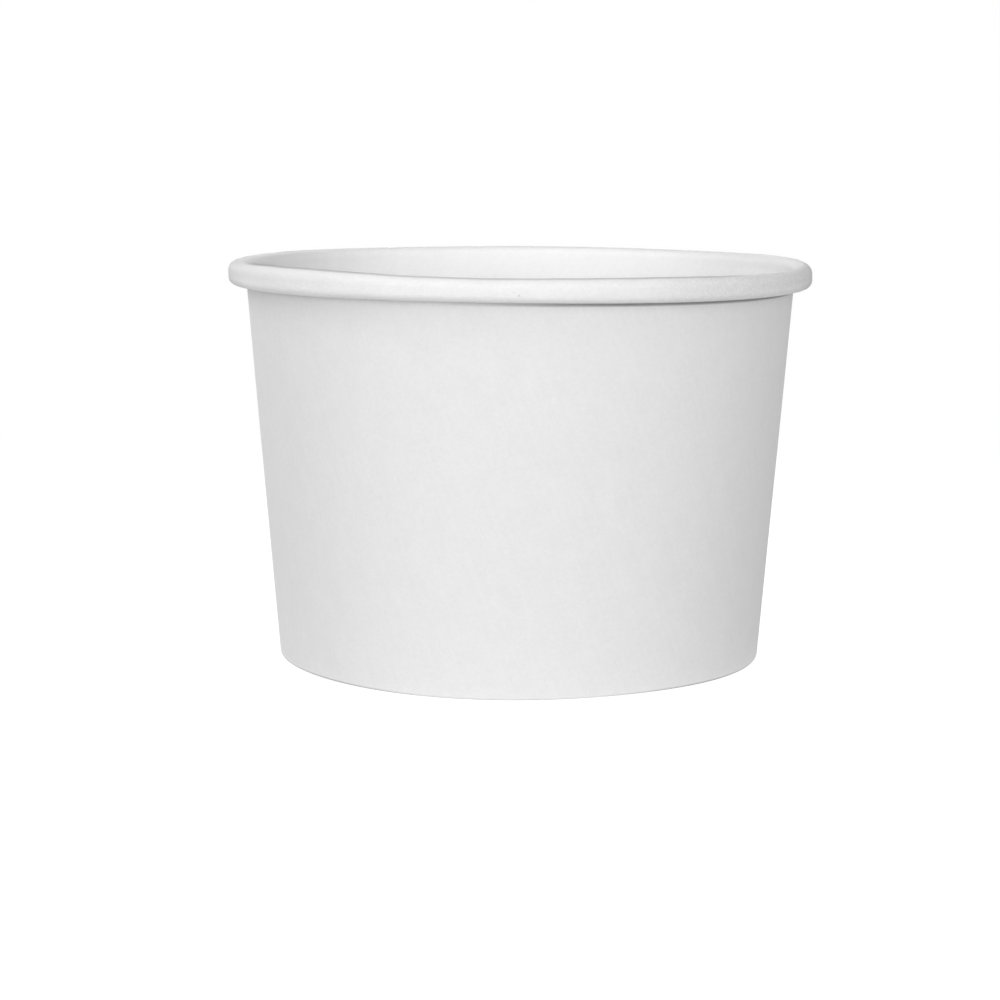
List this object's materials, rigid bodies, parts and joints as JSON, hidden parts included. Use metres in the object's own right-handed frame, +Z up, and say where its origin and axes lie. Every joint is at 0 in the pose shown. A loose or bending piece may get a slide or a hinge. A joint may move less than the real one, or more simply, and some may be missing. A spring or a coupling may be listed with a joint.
{
  "type": "paper sundae cup",
  "caption": "Small white paperboard cup for ice cream and desserts, with a rolled rim, a lapped side seam and an inset base held in a folded foot.",
  "frame": {"origin": "centre of the cup's foot, on the table", "axes": "+Z up the cup's axis towards the open rim; the view in the picture looks along +Y, with +X to the right"},
  "size_m": [0.09, 0.09, 0.061],
  "materials": {
    "cup_board": "matte",
    "base_board": "matte"
  },
  "bodies": {
    "root": {"sidewall": "cup_board", "base_disc": "base_board"}
  },
  "joints": []
}
